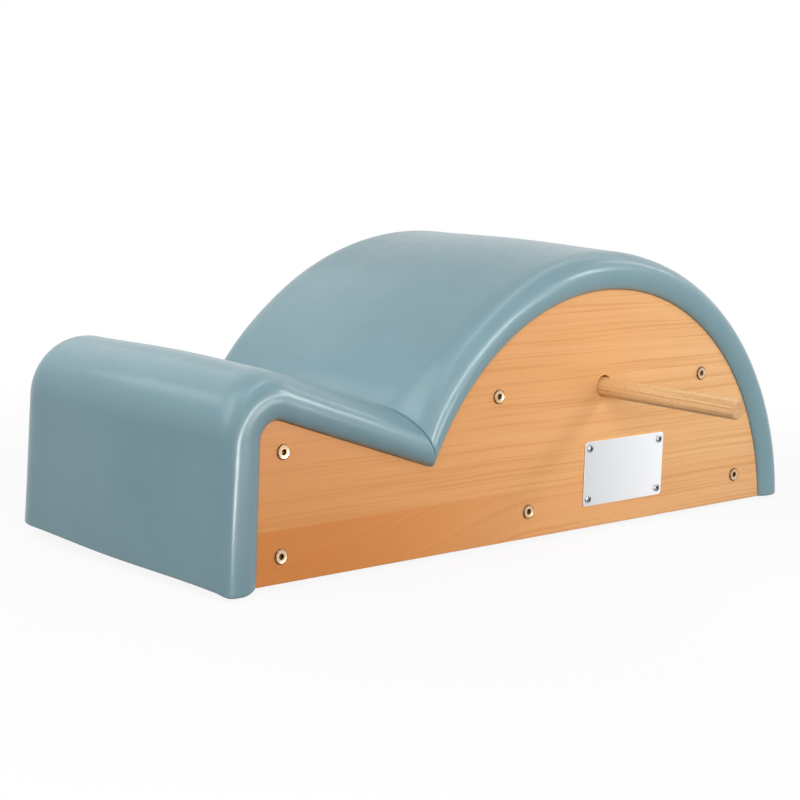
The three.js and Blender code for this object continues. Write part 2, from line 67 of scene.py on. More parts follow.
FRONT_THICKNESS = 48.0
STEP_THICKNESS = 43.2
BARREL_THICKNESS = 41.5
PAD_FRONT_LEAN = math.radians(2.2)
PAD_STEP_SLOPE = math.radians(19.0)
PAD_CORNER_RADIUS = 63.0
PAD_EDGE_RADIUS = 40.0
CROWN = 2.3
VALLEY_SWELL = 6.0
SKIN = 1.4
FIT_GAP = 0.3
HEM_WIDTH = 32.0
DECK_FLOOR = 2.0
DECK_THICKNESS = 9.0
DECK_PLIES = 7
PLY_STEP = 0.35
FOAM_HEM_WIDTH = 12.0
HEM_ROUNDING = 2.0
FOOT_ROUNDING = 3.5
SEAM_ROUNDING = 1.5

BOLTS = {
    "front_lower": (33.5, 28.0),
    "front_upper": (33.5, 133.0),
    "mid_lower": (387.0, 30.5),
    "mid_upper": (333.4, 163.0),
    "rear_lower": (749.0, 33.0),
    "rear_upper": (675.5, 163.0),
}
BOLT_SHANK_RADIUS = 3.8
BOLT_SHANK_LENGTH = 46.0
BOLT_HOLE_RADIUS = 4.3
BOLT_HEAD_RADIUS = 7.9
BOLT_HEAD_HEIGHT = 1.7
BOLT_HEAD_ROUNDING = 0.9
BOLT_DISH_DEPTH = 0.4
BOLT_TURN_FIRST = 17
BOLT_TURN_STEP = 23
SOCKET_ACROSS = 6.2
SOCKET_FLOOR = -0.7

BAR_X = 504.5
BAR_Z = 160.05
BAR_HOLE_Z = 161.0
BAR_RADIUS = 11.0
BAR_HOLE_RADIUS = 12.25
BAR_HALF = 363.5
BAR_END_ROUNDING = 3.0

PLATE_CENTRE = (543.5, 62.0)
PLATE_SIZE = (135.0, 74.0)
PLATE_THICKNESS = 1.0
PLATE_CORNER_RADIUS = 4.0
PLATE_BEVEL = 0.2
PLATE_SCREW_INSET = 8.0
PLATE_SCREW_LENGTH = 14.0
PLATE_SCREW_RADIUS = 1.4
PLATE_SCREW_HOLE_RADIUS = 1.7
PLATE_SCREW_DOME = [(4.4, 0.0), (4.45, 0.3), (4.2, 0.85), (3.5, 1.3), (2.4, 1.62), (1.2, 1.8), (0, 1.85)]
PLATE_SCREW_TURNS = (38, 20, 62, 47)
SLOT_HALF_LENGTH = 3.3
SLOT_HALF_WIDTH = 0.75
SLOT_FLOOR = 0.4

FOOT_INSET = 56.0
FOOT_OUTLINE = [
    (2.3, -0.4), (4.3, -2.4), (4.3, -4.0), (11.2, -4.0), (11.7, -3.85), (12.0, -3.5),
    (12.9, -0.5), (12.8, -0.1), (12.6, 0.0), (2.3, 0.0),
]
STAPLE_INSET = 7.0
STAPLE_LENGTH = 10.0
STAPLE_WIDTH = 0.7
STAPLE_DEPTH = 0.55

# The front hem's rise at its near and far ends, for the cover and the foam, its wave and the small dip
# at its near corner
COVER_RISE = (1.8, 10.8)
FOAM_RISE = (2.5, 10.8)
HEM_SPREAD = 17.0
HEM_WAVE = 0.5
HEM_DIP = 4.0
HEM_DIP_SHARE = 0.026
HEM_DIP_DEPTH = 24.0
HEM_REACH = 70.0

# The panels' wood shows two boards. In the frame's metres: the height of their seam, and along X where the
# lower board's grain rises and by how much, and where its shade and its warmth fade
BOARD_SEAM = (0.058, 0.0605)
BOARD_GRAIN_RUN = (-0.34, 0.02)
BOARD_GRAIN_RISE = 0.075
BOARD_SHADE_RUN = (-0.36, 0.06)
BOARD_WARM_RUN = (-0.40, 0.34)
END_GRAIN_DEPTH = 0.001

# The photograph's camera: degrees, metres, and the lens and sensor in millimetres
CAMERA_AZIMUTH = -43.262
CAMERA_ELEVATION = 8.922
CAMERA_ROLL = 1.854
CAMERA_TARGET = (-0.20847, -0.1735, 0.17572)
CAMERA_DISTANCE = 2.15211
CAMERA_LENS = 94.364
CAMERA_SENSOR = 36.0
CAMERA_CLIP = (0.05, 60.0)

# Light of the surroundings near the horizon and above, and the rise over which one becomes the other
WORLD_LOW = 0.6
WORLD_HIGH = 0.05
WORLD_RISE = (-0.1, 0.8)
# The floor's lit and shadowed greys, how white it shows near the object and where it turns all white
FLOOR_HALF = 14.0
FLOOR_DEPTH = 0.0005
FLOOR_LIT = 0.07
FLOOR_SHADOWED = 0.8
FLOOR_WHITE = 0.9
FLOOR_CLEAR = (0.5, 1.2)
# Azimuth, elevation, distance, width, height and power of each softbox, and the point it looks at
MIDDLE = (0.0, 0.0, 0.15)
RIGHT_END = (0.38, -0.18, 0.1)
LAMPS = {
    "edge": (-37, 23, 2.4, 1.7, 1.7, 26.5, MIDDLE),
    "side": (84, 33, 2.4, 0.2, 1.0, 3.5, MIDDLE),
    "back": (180, 36, 2.6, 1.5, 0.8, 2.8, MIDDLE),
    "back_left": (-146, 32, 2.6, 0.5, 0.5, 2.4, MIDDLE),
    "far": (150, 18, 3.0, 3.0, 2.0, 28.0, MIDDLE),
    "top": (-42, 80, 2.4, 1.4, 1.8, 3.6, MIDDLE),
    "left": (-95, 30, 2.6, 1.4, 1.4, 13.8, MIDDLE),
    "left_high": (-100, 45, 1.3, 0.8, 0.8, 4.2, MIDDLE),
    "right_near": (46, 30, 1.8, 0.35, 0.35, 6.0, MIDDLE),
    "right_low": (-15, 3, 0.8, 0.4, 0.16, 2.6, RIGHT_END),
}
# Softboxes that no gloss shows: what it shows there is the white surroundings
WITHOUT_GLOSS = ("edge", "far")
# Bent strip lights, seen only as the gloss along the pads' near edges: the point each faces, its width,
# its bends and the power of each stretch for a metre of it
STRIPS = {
    "rim": (
        (-0.40, -0.18, 0.15), 0.07,
        [(-0.56, -0.67, 0.01), (-0.50, -0.68, 0.04), (-0.41, -0.68, 0.1), (-0.34, -0.675, 0.19),
         (-0.2, -0.63, 0.294), (0.1, -0.43, 0.37), (0.21, -0.418, 0.336)],
        [9.0, 9.0, 8.0, 5.5, 3.2, 1.2],
    ),
    "arch": (
        (-0.03, -0.17, 0.25), 0.15,
        [(-0.67, -0.65, 0.87), (-0.55, -0.37, 1.08), (-0.334, -0.265, 1.184), (0.0, -0.13, 1.256),
         (0.307, 0.057, 1.2), (0.58, 0.24, 1.02), (0.77, 0.22, 0.91), (0.93, -0.23, 0.91)],
        [1.3, 1.6, 1.9, 1.5, 0.8, 0.4, 0.4],
    ),
}


def place(points):
    return np.asarray(points, float) / 1000.0 + ORIGIN


def mix(a, b, t):
    return a + (b - a) * t


def smooth(t):
    t = np.clip(t, 0.0, 1.0)
    return t * t * (3 - 2 * t)


def unit(angle):
    return np.array([math.cos(angle), math.sin(angle)])


# Outline of the side panels
BARREL_CENTRE = np.array([PANEL_LENGTH - math.sqrt(BARREL_RADIUS**2 - BARREL_DROP**2), -BARREL_DROP])
VALLEY = np.array([
    BARREL_CENTRE[0] - math.sqrt(BARREL_RADIUS**2 - (VALLEY_HEIGHT + BARREL_DROP) ** 2),
    VALLEY_HEIGHT,
])
FRONT_UP = np.array([math.sin(LEAN), math.cos(LEAN)])
FRONT_OUT = np.array([-math.cos(LEAN), math.sin(LEAN)])
STEP_DOWN = np.array([math.cos(SLOPE), -math.sin(SLOPE)])
STEP_OUT = np.array([math.sin(SLOPE), math.cos(SLOPE)])
CORNER = FRONT_UP * (VALLEY @ STEP_OUT) / (FRONT_UP @ STEP_OUT)
CORNER_REACH = CORNER_RADIUS * math.tan(math.acos(FRONT_UP @ STEP_DOWN) / 2)
FRONT_TOP = CORNER - FRONT_UP * CORNER_REACH
STEP_HEAD = CORNER + STEP_DOWN * CORNER_REACH
CORNER_CENTRE = FRONT_TOP - FRONT_OUT * CORNER_RADIUS
FRONT_ANGLE = math.atan2(FRONT_OUT[1], FRONT_OUT[0])
STEP_ANGLE = math.atan2(STEP_OUT[1], STEP_OUT[0])
BARREL_OUT = (VALLEY - BARREL_CENTRE) / np.linalg.norm(VALLEY - BARREL_CENTRE)
# The step pad's finished surface: two planes and the round corner between them
PAD_FRONT_OUT = np.array([-math.cos(PAD_FRONT_LEAN), math.sin(PAD_FRONT_LEAN)])
PAD_STEP_OUT = np.array([math.sin(PAD_STEP_SLOPE), math.cos(PAD_STEP_SLOPE)])
PAD_FRONT_REACH = PAD_FRONT_OUT @ np.array([-FRONT_THICKNESS, 0.0])
PAD_STEP_REACH = PAD_STEP_OUT @ VALLEY + STEP_THICKNESS
PAD_CORNER_CENTRE = np.linalg.solve(
    np.array([PAD_FRONT_OUT, PAD_STEP_OUT]),
    np.array([PAD_FRONT_REACH - PAD_CORNER_RADIUS, PAD_STEP_REACH - PAD_CORNER_RADIUS]),
)

# The pads meet in a plane from the valley of the panels to the line where their surfaces cross
PAD_STEP_DOWN = np.array([PAD_STEP_OUT[1], -PAD_STEP_OUT[0]])
PAD_FOOT = BARREL_CENTRE + PAD_STEP_OUT * (PAD_STEP_REACH - PAD_STEP_OUT @ BARREL_CENTRE)
PAD_RADIUS = BARREL_RADIUS + BARREL_THICKNESS
PAD_FOOT_REACH = np.linalg.norm(PAD_FOOT - BARREL_CENTRE)
PAD_VALLEY = PAD_FOOT - PAD_STEP_DOWN * math.sqrt(PAD_RADIUS**2 - PAD_FOOT_REACH**2)
MITRE_ALONG = (PAD_VALLEY - VALLEY) / np.linalg.norm(PAD_VALLEY - VALLEY)
MITRE_SIDE = np.array([MITRE_ALONG[1], -MITRE_ALONG[0]])
MITRE = MITRE_ALONG / (MITRE_ALONG @ STEP_OUT)
# Where the pads press against each other they stand a little higher
STEP_SWELL = VALLEY_SWELL * (MITRE_ALONG @ STEP_OUT)
BARREL_SWELL = np.linalg.norm(PAD_VALLEY + MITRE_ALONG * VALLEY_SWELL - BARREL_CENTRE) - PAD_RADIUS


def step_thickness(base, out):
    """How far the step pad's surface lies out of the panel's outline along a rib."""
    reaches = []
    for normal, reach in ((PAD_FRONT_OUT, PAD_FRONT_REACH), (PAD_STEP_OUT, PAD_STEP_REACH)):
        if normal @ out > 0.05:
            reaches.append((reach - normal @ base) / (normal @ out))
    thickness = min(reaches)
    spoke = base + out * thickness - PAD_CORNER_CENTRE
    along_front = spoke @ np.array([PAD_FRONT_OUT[1], -PAD_FRONT_OUT[0]])
    along_step = spoke @ np.array([PAD_STEP_OUT[1], -PAD_STEP_OUT[0]])
    if along_front > 0 > along_step:
        start = base - PAD_CORNER_CENTRE
        toward = start @ out
        beyond = start @ start - PAD_CORNER_RADIUS**2
        thickness = (math.sqrt(toward * toward - (out @ out) * beyond) - toward) / (out @ out)
    return thickness


class StepPath:
    """The step pad's run: up the front (0 to 1), round the corner (to 2) and down to the valley (to 3)."""

    length = 3.0

    def rib(self, t, inset):
        if t < 1:
            foot = FRONT_UP * inset / FRONT_UP[1]
            return mix(foot, FRONT_TOP, t), mix(np.array([-1 / math.cos(LEAN), 0.0]), FRONT_OUT, t)
        if t < 2:
            out = unit(mix(FRONT_ANGLE, STEP_ANGLE, t - 1))
            return CORNER_CENTRE + out * CORNER_RADIUS, out
        end = VALLEY - STEP_DOWN * inset / (STEP_DOWN @ MITRE_SIDE)
        return mix(STEP_HEAD, end, t - 2), mix(STEP_OUT, MITRE, t - 2)

    def point(self, t, offset, inset):
        base, out = self.rib(t, inset)
        return base + out * offset

    def form(self, t, side):
        """Thickness, overhang, reach of the rounded edge, height of the widest line and squareness."""
        overhang = np.interp(t, (0, 1, 2, 3), (10.5, 10.1, 10.1, 14.0))
        reach = PAD_EDGE_RADIUS
        squareness = 2.0
        widest = np.interp(t, (0, 1, 3), (15.0, 10.0, 9.0))
        if side < 0:
            # The near edge is crisper, and stands fuller where it meets the floor
            overhang = np.interp(t, (0, 1, 2, 3), (16.5, 11.0, 10.1, 14.0))
            reach = np.interp(t, (0, 1, 2, 2.3, 3), (24.0, 28.0, 50.0, 62.0, 70.0))
            squareness = np.interp(t, (0, 1, 2, 3), (3.2, 2.9, 2.2, 1.95))
            widest = np.interp(t, (0, 0.3, 1, 3), (28.0, 24.0, 21.0, 15.0))
        thickness = step_thickness(*self.rib(t, 0.0)) + STEP_SWELL * smooth((t - 1.8) / 0.9)
        return thickness, overhang, reach, widest, squareness

    def stations(self):
        front = np.linspace(0, 1, 30)[:-1] ** 1.15
        return np.concatenate([front, np.linspace(1, 2, 25)[:-1], np.linspace(2, 3, 34)])


class BarrelPath:
    """The barrel pad's run, from the valley (0) over the crest to the floor (1)."""

    length = 1.0

    def point(self, t, offset, inset):
        start = VALLEY + MITRE_SIDE * inset - BARREL_CENTRE
        rise = start @ MITRE_ALONG
        radius = BARREL_RADIUS + offset
        reach = math.sqrt(rise**2 - start @ start + radius**2) - rise
        first = start + MITRE_ALONG * reach
        first_angle = math.atan2(first[1], first[0])
        last_angle = math.asin((BARREL_DROP + inset) / radius)
        return BARREL_CENTRE + unit(mix(first_angle, last_angle, t)) * radius

    def form(self, t, side):
        """Thickness, overhang, reach of the rounded edge, height of the widest line and squareness."""
        overhang = np.interp(t, (0, 0.45, 1), (14.0, 9.8, 8.5))
        reach = mix(36.0, 69.0, math.exp(-t / 0.045)) + np.interp(t, (0.1, 0.5, 1), (0.0, 4.0, -6.0))
        squareness = np.interp(t, (0, 0.1, 0.3, 1), (1.95, 2.1, 2.2, 2.0))
        widest = np.interp(t, (0, 0.5, 1), (15.0, 16.0, 18.0))
        if side > 0:
            reach = np.interp(t, (0, 0.5, 1), (PAD_EDGE_RADIUS, PAD_EDGE_RADIUS, 30.0))
            squareness = 2.0
            widest = np.interp(t, (0, 0.5, 1), (9.0, 10.0, 18.0))
        thickness = BARREL_THICKNESS + BARREL_SWELL * (1 - smooth(t / 0.16))
        return thickness, overhang, reach, widest, squareness

    def stations(self):
        return np.linspace(0, 1, 120)


def half_section(form, shrink, floor, hem, rows):
    """From the hem's inner edge to the middle of the top, as pairs of Y and distance out of the outline."""
    thickness, overhang, reach, widest, squareness = form
    centre = HALF_WIDTH + overhang - reach
    reach -= shrink
    height = thickness - shrink - widest
    power = 2 / squareness
    start = math.asin(max((floor - widest) / height, 0.0) ** (1 / power))
    low_y = centre + reach * math.cos(start) ** power
    low = widest + height * math.sin(start) ** power
    inner = min(HALF_WIDTH, low_y)
    points = [[inner - hem * (1 - k / rows["hem"]), floor] for k in range(rows["hem"])]
    for k in range(rows["side"]):
        angle = k / rows["side"] * math.pi / 2
        points.append([mix(inner, low_y, math.sin(angle)), mix(low, floor, math.cos(angle))])
    for k in range(rows["edge"]):
        angle = mix(start, math.pi / 2, k / rows["edge"])
        out, up = math.cos(angle) ** power, math.sin(angle) ** power
        points.append([centre + reach * out, widest + height * up])
    for k in range(rows["top"] + 1):
        share = 1 - k / rows["top"]
        points.append([centre * share, thickness - shrink + CROWN * (1 - share**2) ** 2])
    return np.array(points)


def pad_rings(path, inset, shrink, floor, hem, roundings, rows):
    """Rings of a pad, with its two ends rounded over; roundings are the radii at the start and the end."""
    rings = []

    def ring(t, place_inset, extra):
        near, far = (half_section(path.form(t, side), shrink + extra, floor, hem, rows) for side in (-1, 1))
        section = np.vstack([near * [-1, 1], far[-2::-1]])
        ring_points = []
        for y, offset in section:
            x, z = path.point(t, offset, place_inset)
            ring_points.append((x, y, z))
        rings.append(ring_points)

    steps = 7
    for k in range(steps):
        angle = (1 - k / steps) * math.pi / 2
        radius = roundings[0]
        ring(0.0, inset + radius * (1 - math.sin(angle)), radius * (1 - math.cos(angle)))
    for t in path.stations():
        end = roundings[0] if t < path.length / 2 else roundings[1]
        ring(t, inset + end, 0.0)
    for k in range(1, steps + 1):
        angle = k / steps * math.pi / 2
        radius = roundings[1]
        ring(path.length, inset + radius * (1 - math.sin(angle)), radius * (1 - math.cos(angle)))
    return np.array(rings)


def add_object(name, data):
    obj = bpy.data.objects.new(name, data)
    bpy.context.collection.objects.link(obj)
    return obj


def mesh_object(name, points, faces, smooth_faces=True):
    mesh = bpy.data.meshes.new(name)
    mesh.from_pydata([tuple(p) for p in points], [], faces)
    mesh.validate()
    bm = bmesh.new()
    bm.from_mesh(mesh)
    bmesh.ops.recalc_face_normals(bm, faces=bm.faces)
    bm.to_mesh(mesh)
    bm.free()
    mesh.polygons.foreach_set("use_smooth", [smooth_faces] * len(mesh.polygons))
    return add_object(name, mesh)


def grid_faces(rows, columns, wrap):
    faces = []
    for u in range(rows - 1):
        for v in range(columns if wrap else columns - 1):
            w = (v + 1) % columns
            faces.append((u * columns + v, u * columns + w, (u + 1) * columns + w, (u + 1) * columns + v))
    return faces


def capped_run(name, rings):
    """A closed piece through rings of as many points each, in millimetres, with a face over each end."""
    count, columns = rings.shape[:2]
    faces = grid_faces(count, columns, wrap=True)
    faces.append(tuple(range(columns)))
    faces.append(tuple((count - 1) * columns + v for v in reversed(range(columns))))
    return mesh_object(name, place(rings.reshape(-1, 3)), faces)


def applied(obj):
    """The object with its modifiers made real."""
    depsgraph = bpy.context.evaluated_depsgraph_get()
    mesh = bpy.data.meshes.new_from_object(obj.evaluated_get(depsgraph))
    obj.modifiers.clear()
    old = obj.data
    obj.data = mesh
    mesh.name = old.name
    bpy.data.meshes.remove(old)
    return obj


def sharpen(obj, degrees):
    """Smooth shading except over edges steeper than this."""
    mesh = obj.data
    bm = bmesh.new()
    bm.from_mesh(mesh)
    limit = math.radians(degrees)
    for edge in bm.edges:
        if len(edge.link_faces) == 2 and edge.calc_face_angle(0.0) > limit:
            edge.smooth = False
    for face in bm.faces:
        face.smooth = True
    bm.to_mesh(mesh)
    bm.free()
    return obj


def lathe(name, profile, sides=64):
    """A closed turned piece about Z from (radius, height) pairs that start and end on the axis."""
    points = [(0, 0, profile[0][1]), (0, 0, profile[-1][1])]
    inner = profile[1:-1]
    for radius, height in inner:
        for k in range(sides):
            angle = 2 * math.pi * k / sides
            points.append((radius * math.cos(angle), radius * math.sin(angle), height))
    faces = []
    for k in range(sides):
        n = (k + 1) % sides
        faces.append((0, 2 + n, 2 + k))
        for row in range(len(inner) - 1):
            a = 2 + row * sides
            faces.append((a + k, a + n, a + sides + n, a + sides + k))
        last = 2 + (len(inner) - 1) * sides
        faces.append((1, last + k, last + n))
    return sharpen(mesh_object(name, np.array(points) / 1000.0, faces), 35)


def carve(obj, *cutters):
    for cutter in cutters:
        modifier = obj.modifiers.new("carve", "BOOLEAN")
        modifier.operation = "DIFFERENCE"
        modifier.solver = "EXACT"
        modifier.object = cutter
    applied(obj)
    for cutter in cutters:
        bpy.data.objects.remove(cutter)
    return obj


def prism(name, outline, low, high):
    """A prism along Z from an outline in X and Y."""
    count = len(outline)
    points = [(x, y, low) for x, y in outline] + [(x, y, high) for x, y in outline]
    faces = [tuple(reversed(range(count))), tuple(range(count, 2 * count))]
    faces += [(k, (k + 1) % count, count + (k + 1) % count, count + k) for k in range(count)]
    return mesh_object(name, np.array(points) / 1000.0, faces, smooth_faces=False)


def finish_piece(obj, material, slot, *nodes, body="frame"):
    obj.data.materials.clear()
    obj.data.materials.append(material)
    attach(obj, body)
    if nodes:
        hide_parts(*nodes)
    return obj


class Shader:
    """Builds a material's node tree with few words."""

    def __init__(self, name):
        self.material = bpy.data.materials.new(name)
        self.material.use_nodes = True
        self.tree = self.material.node_tree
        self.tree.nodes.clear()
        self.output = self.tree.nodes.new("ShaderNodeOutputMaterial")
        self.bsdf = self.tree.nodes.new("ShaderNodeBsdfPrincipled")
        self.link(self.bsdf.outputs[0], self.output.inputs["Surface"])
        self.coordinates = self.tree.nodes.new("ShaderNodeTexCoord").outputs["Object"]

    def link(self, source, target):
        self.tree.links.new(source, target)

    def put(self, socket, value):
        if isinstance(value, bpy.types.NodeSocket):
            self.link(value, socket)
        else:
            socket.default_value = value

    def surface(self, **values):
        for name, value in values.items():
            self.put(self.bsdf.inputs[name.replace("_", " ")], value)

    def mapping(self, scale, source=None):
        node = self.tree.nodes.new("ShaderNodeMapping")
        self.link(source or self.coordinates, node.inputs["Vector"])
        node.inputs["Scale"].default_value = scale
        return node.outputs["Vector"]

    def noise(self, vector, scale=1.0, detail=2.0, roughness=0.5):
        node = self.tree.nodes.new("ShaderNodeTexNoise")
        self.link(vector, node.inputs["Vector"])
        node.inputs["Scale"].default_value = scale
        node.inputs["Detail"].default_value = detail
        node.inputs["Roughness"].default_value = roughness
        return node.outputs["Fac"]

    def voronoi(self, vector, scale):
        node = self.tree.nodes.new("ShaderNodeTexVoronoi")
        self.link(vector, node.inputs["Vector"])
        node.inputs["Scale"].default_value = scale
        return node.outputs["Distance"]

    def ranged(self, value, low, high, to_low=0.0, to_high=1.0, kind="SMOOTHSTEP"):
        node = self.tree.nodes.new("ShaderNodeMapRange")
        node.interpolation_type = kind
        self.link(value, node.inputs["Value"])
        node.inputs["From Min"].default_value = low
        node.inputs["From Max"].default_value = high
        node.inputs["To Min"].default_value = to_low
        node.inputs["To Max"].default_value = to_high
        return node.outputs["Result"]

    def math(self, operation, a, b=0.0):
        node = self.tree.nodes.new("ShaderNodeMath")
        node.operation = operation
        self.put(node.inputs[0], a)
        self.put(node.inputs[1], b)
        return node.outputs[0]

    def split(self, vector):
        node = self.tree.nodes.new("ShaderNodeSeparateXYZ")
        self.link(vector, node.inputs[0])
        return node.outputs

    def join(self, x, y, z):
        node = self.tree.nodes.new("ShaderNodeCombineXYZ")
        for socket, value in zip(node.inputs, (x, y, z)):
            self.put(socket, value)
        return node.outputs[0]

    def blend(self, factor, a, b):
        node = self.tree.nodes.new("ShaderNodeMix")
        node.data_type = "RGBA"
        self.put(node.inputs["Factor"], factor)
        self.put(node.inputs[6], a)
        self.put(node.inputs[7], b)
        return node.outputs[2]

    def bump(self, height, distance, strength):
        node = self.tree.nodes.new("ShaderNodeBump")
        self.link(height, node.inputs["Height"])
        node.inputs["Distance"].default_value = distance
        node.inputs["Strength"].default_value = strength
        return node.outputs["Normal"]

    def radius(self):
        """Distance from the object's own Z axis, and the height along it."""
        x, y, z = self.split(self.coordinates)
        squares = self.math("ADD", self.math("MULTIPLY", x, x), self.math("MULTIPLY", y, y))
        return self.math("SQRT", squares), z


def rgb(red, green, blue):
    """A colour written as it shows, from 0 to 255."""
    def linear(value):
        value /= 255.0
        return value / 12.92 if value <= 0.04045 else ((value + 0.055) / 1.055) ** 2.4
    return (linear(red), linear(green), linear(blue), 1.0)


def vinyl_material():
    s = Shader("vinyl")
    cloud = s.noise(s.coordinates, scale=9.0, detail=3.0)
    colour = s.blend(s.ranged(cloud, 0.3, 0.7), rgb(116, 148, 157), rgb(121, 153, 162))
    grain = s.voronoi(s.coordinates, 1250.0)
    fine = s.noise(s.coordinates, scale=2600.0, detail=2.0)
    height = s.math("ADD", grain, s.math("MULTIPLY", fine, 0.5))
    rough = s.ranged(s.noise(s.coordinates, scale=60.0, detail=3.0), 0.3, 0.7, 0.4, 0.46)
    s.surface(Base_Color=colour, Roughness=rough, Normal=s.bump(height, 0.00005, 0.5))
    s.surface(Specular_IOR_Level=0.3, Coat_Weight=0.45, Coat_Roughness=0.18, Coat_IOR=1.4)
    return s.material


def wood_material(name, light, middle, dark, planked=False, axis="x", flecks=0.5, roughness=0.42, end=None):
    """Wood with bands and streaks along its grain and short flecks.

    planked gives it a lower, darker board, and end is how far from the middle its end grain lies.
    """
    s = Shader(name)
    x, y, z = s.split(s.coordinates)
    along, across, depth = (y, z, x) if axis == "y" else (x, z, y)
    wander = s.noise(s.join(along, depth, across), scale=3.0, detail=2.0)
    bent = s.math("ADD", across, s.math("MULTIPLY", wander, 0.01))
    if planked:
        lower = s.ranged(across, *BOARD_SEAM, 1.0, 0.0)
        rise = s.ranged(along, *BOARD_GRAIN_RUN, 0.0, BOARD_GRAIN_RISE)
        bent = s.math("SUBTRACT", bent, s.math("MULTIPLY", rise, lower))
    flow = s.join(along, depth, bent)
    bands = s.noise(s.mapping((1.6, 6.0, 85.0), source=flow), detail=3.0, roughness=0.55)
    streaks = s.noise(s.mapping((9.0, 60.0, 620.0), source=flow), detail=3.0, roughness=0.6)
    pores = s.noise(s.mapping((130.0, 900.0, 1900.0), source=flow), detail=1.0)
    colour = s.blend(s.ranged(bands, 0.32, 0.68), middle, light)
    colour = s.blend(s.ranged(streaks, 0.35, 0.75, 0.0, 0.5), colour, middle)
    lines = s.noise(s.mapping((3.5, 8.0, 420.0), source=flow), detail=1.5, roughness=0.4)
    colour = s.blend(s.ranged(lines, 0.52, 0.64, 0.0, 0.5), colour, dark)
    if planked:
        fading = s.ranged(along, *BOARD_SHADE_RUN, 1.0, 0.15)
        shade = s.math("MULTIPLY", s.math("MULTIPLY", lower, fading), 0.7)
        colour = s.blend(shade, colour, rgb(206, 108, 34))
        warm = s.ranged(along, *BOARD_WARM_RUN, 0.72, 0.0, "LINEAR")
        colour = s.blend(warm, colour, rgb(224, 136, 50))
    mark = s.ranged(pores, 0.62, 0.72, 0.0, flecks)
    colour = s.blend(mark, colour, dark)
    if end:
        end_grain = s.ranged(s.math("ABSOLUTE", along), end - END_GRAIN_DEPTH, end, 0.0, 0.8)
        colour = s.blend(end_grain, colour, rgb(176, 136, 98))
    height = s.math("ADD", bands, s.math("MULTIPLY", streaks, 0.4))
    s.surface(Base_Color=colour, Roughness=roughness, Normal=s.bump(height, 0.0001, 0.35))
    s.surface(Specular_IOR_Level=0.3, Coat_Weight=0.1, Coat_Roughness=0.3)
    return s.material


def ply_material():
    s = Shader("plywood")
    x, y, z = s.split(s.coordinates)
    flow = s.join(y, z, x)
    bands = s.noise(s.mapping((2.0, 14.0, 60.0), source=flow), detail=4.0, roughness=0.6)
    pores = s.noise(s.mapping((90.0, 300.0, 900.0), source=flow), detail=2.0)
    colour = s.blend(s.ranged(bands, 0.3, 0.7), rgb(205, 176, 132), rgb(226, 200, 158))
    colour = s.blend(s.ranged(pores, 0.6, 0.75, 0.0, 0.4), colour, rgb(160, 122, 80))
    s.surface(Base_Color=colour, Roughness=0.7, Normal=s.bump(bands, 0.0002, 0.4))
    return s.material


def foam_material():
    s = Shader("foam")
    cells = s.voronoi(s.coordinates, 700.0)
    colour = s.blend(s.ranged(cells, 0.1, 0.7), rgb(214, 205, 176), rgb(238, 232, 208))
    s.surface(Base_Color=colour, Roughness=0.95, Normal=s.bump(cells, 0.0008, 0.7))
    return s.material


def bolt_material():
    """Coppered steel, with painted shade and a painted dark reflection round the rolled rim, and painted
    shade in the socket.
    """
    s = Shader("coppered_steel")
    radius, z = s.radius()
    # Painted shade and dark reflection: the rolled rim is coloured dark brown
    rim = s.ranged(radius, 0.0063, 0.0072, 0.0, 0.92)
    colour = s.blend(rim, rgb(222, 190, 152), rgb(74, 46, 30))
    # Painted shade: the inside of the socket is coloured almost black
    below = s.ranged(z, 0.0002, 0.0012, 1.0, 0.0)
    painted_recess_shade = s.ranged(radius, 0.0031, 0.0036, 1.0, 0.0)
    colour = s.blend(s.math("MULTIPLY", below, painted_recess_shade), colour, rgb(38, 30, 26))
    wear = s.noise(s.coordinates, scale=320.0, detail=4.0)
    colour = s.blend(s.ranged(wear, 0.45, 0.7, 0.0, 0.35), colour, rgb(168, 132, 106))
    rough = s.ranged(wear, 0.3, 0.7, 0.16, 0.3)
    s.surface(Base_Color=colour, Metallic=1.0, Roughness=rough, Normal=s.bump(wear, 0.00003, 0.3))
    return s.material


def metal_material(name, colour, tint, roughness):
    s = Shader(name)
    wear = s.noise(s.coordinates, scale=40.0, detail=4.0)
    mixed = s.blend(s.ranged(wear, 0.35, 0.7), colour, tint)
    rough = s.ranged(wear, 0.3, 0.7, roughness * 0.8, roughness * 1.25)
    s.surface(Base_Color=mixed, Metallic=1.0, Roughness=rough, Normal=s.bump(wear, 0.00003, 0.3))
    return s.material


def recessed_steel_material():
    """Zinced steel whose cross recess has painted shade, coloured dark inside."""
    s = Shader("zinced_steel_recessed")
    radius, z = s.radius()
    below = s.ranged(z, 0.0008, 0.0017, 1.0, 0.0)
    painted_recess_shade = s.ranged(radius, 0.0033, 0.0036, 1.0, 0.0)
    wear = s.noise(s.coordinates, scale=420.0, detail=3.0)
    colour = s.blend(s.ranged(wear, 0.35, 0.7), rgb(172, 175, 178), rgb(150, 153, 156))
    # Painted shade: the inside of the cross recess is coloured dark grey
    colour = s.blend(s.math("MULTIPLY", below, painted_recess_shade), colour, rgb(46, 46, 48))
    s.surface(Base_Color=colour, Metallic=1.0, Roughness=0.28, Normal=s.bump(wear, 0.00003, 0.3))
    return s.material


def plate_material():
    """Satin metal with a fine even brushing, and a painted reflection that makes it a little brighter
    towards the barrel's end.
    """
    s = Shader("plate_metal")
    x = s.split(s.coordinates)[0]
    low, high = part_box("name_plate")
    # Painted reflection: the colour brightens along X across the plate
    colour = s.blend(s.ranged(x, low.x, high.x, kind="LINEAR"), rgb(208, 210, 213), rgb(244, 245, 247))
    brushing = s.noise(s.mapping((60.0, 4000.0, 4000.0)), detail=2.0)
    rough = s.ranged(brushing, 0.3, 0.7, 0.3, 0.38)
    s.surface(Base_Color=colour, Metallic=1.0, Roughness=rough, Normal=s.bump(brushing, 0.00001, 0.2))
    return s.material


